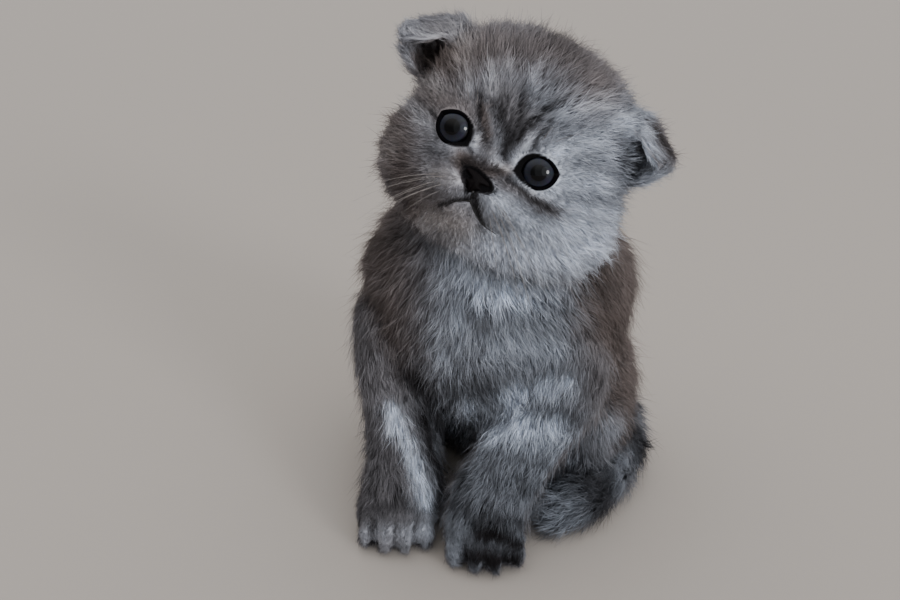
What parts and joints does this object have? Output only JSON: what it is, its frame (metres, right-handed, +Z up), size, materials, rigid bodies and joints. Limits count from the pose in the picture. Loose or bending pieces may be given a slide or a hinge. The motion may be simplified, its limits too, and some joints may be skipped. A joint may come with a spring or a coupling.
{
  "type": "scottish fold cat",
  "caption": "Sitting fold-eared kitten, life size, head tilted and lifted, forelegs upright in front and the tail laid round its side.",
  "frame": {"origin": "bottom centre of the bounding box, on the floor that the kitten sits on", "axes": "+Z up, the kitten's chest and forelegs face -Y, its left side is +X"},
  "size_m": [0.0992, 0.1116, 0.1507],
  "materials": {
    "face_coat": "short plush coat, silver grey with brown-grey stripes",
    "silver_coat": "plush coat, silver grey with faint darker bands",
    "back_coat": "plush coat, brown-grey",
    "dark_coat": "plush coat, dark grey to black with grey rings",
    "nose_leather": "fine-grained, slightly moist",
    "eye": "wet, glossy, dark blue-grey"
  },
  "bodies": {
    "root": {"head": "face_coat", "nose": "nose_leather", "eye_left": "eye", "eye_right": "eye", "ear_left": "dark_coat", "ear_right": "dark_coat", "neck": "silver_coat", "torso": "back_coat", "foreleg_left": "silver_coat", "foreleg_right": "silver_coat", "forepaw_left": "dark_coat", "forepaw_right": "dark_coat", "thigh_left": "back_coat", "thigh_right": "back_coat", "hindpaw_left": "dark_coat", "hindpaw_right": "dark_coat", "tail_base": "dark_coat", "tail_tip": "dark_coat"}
  },
  "joints": []
}
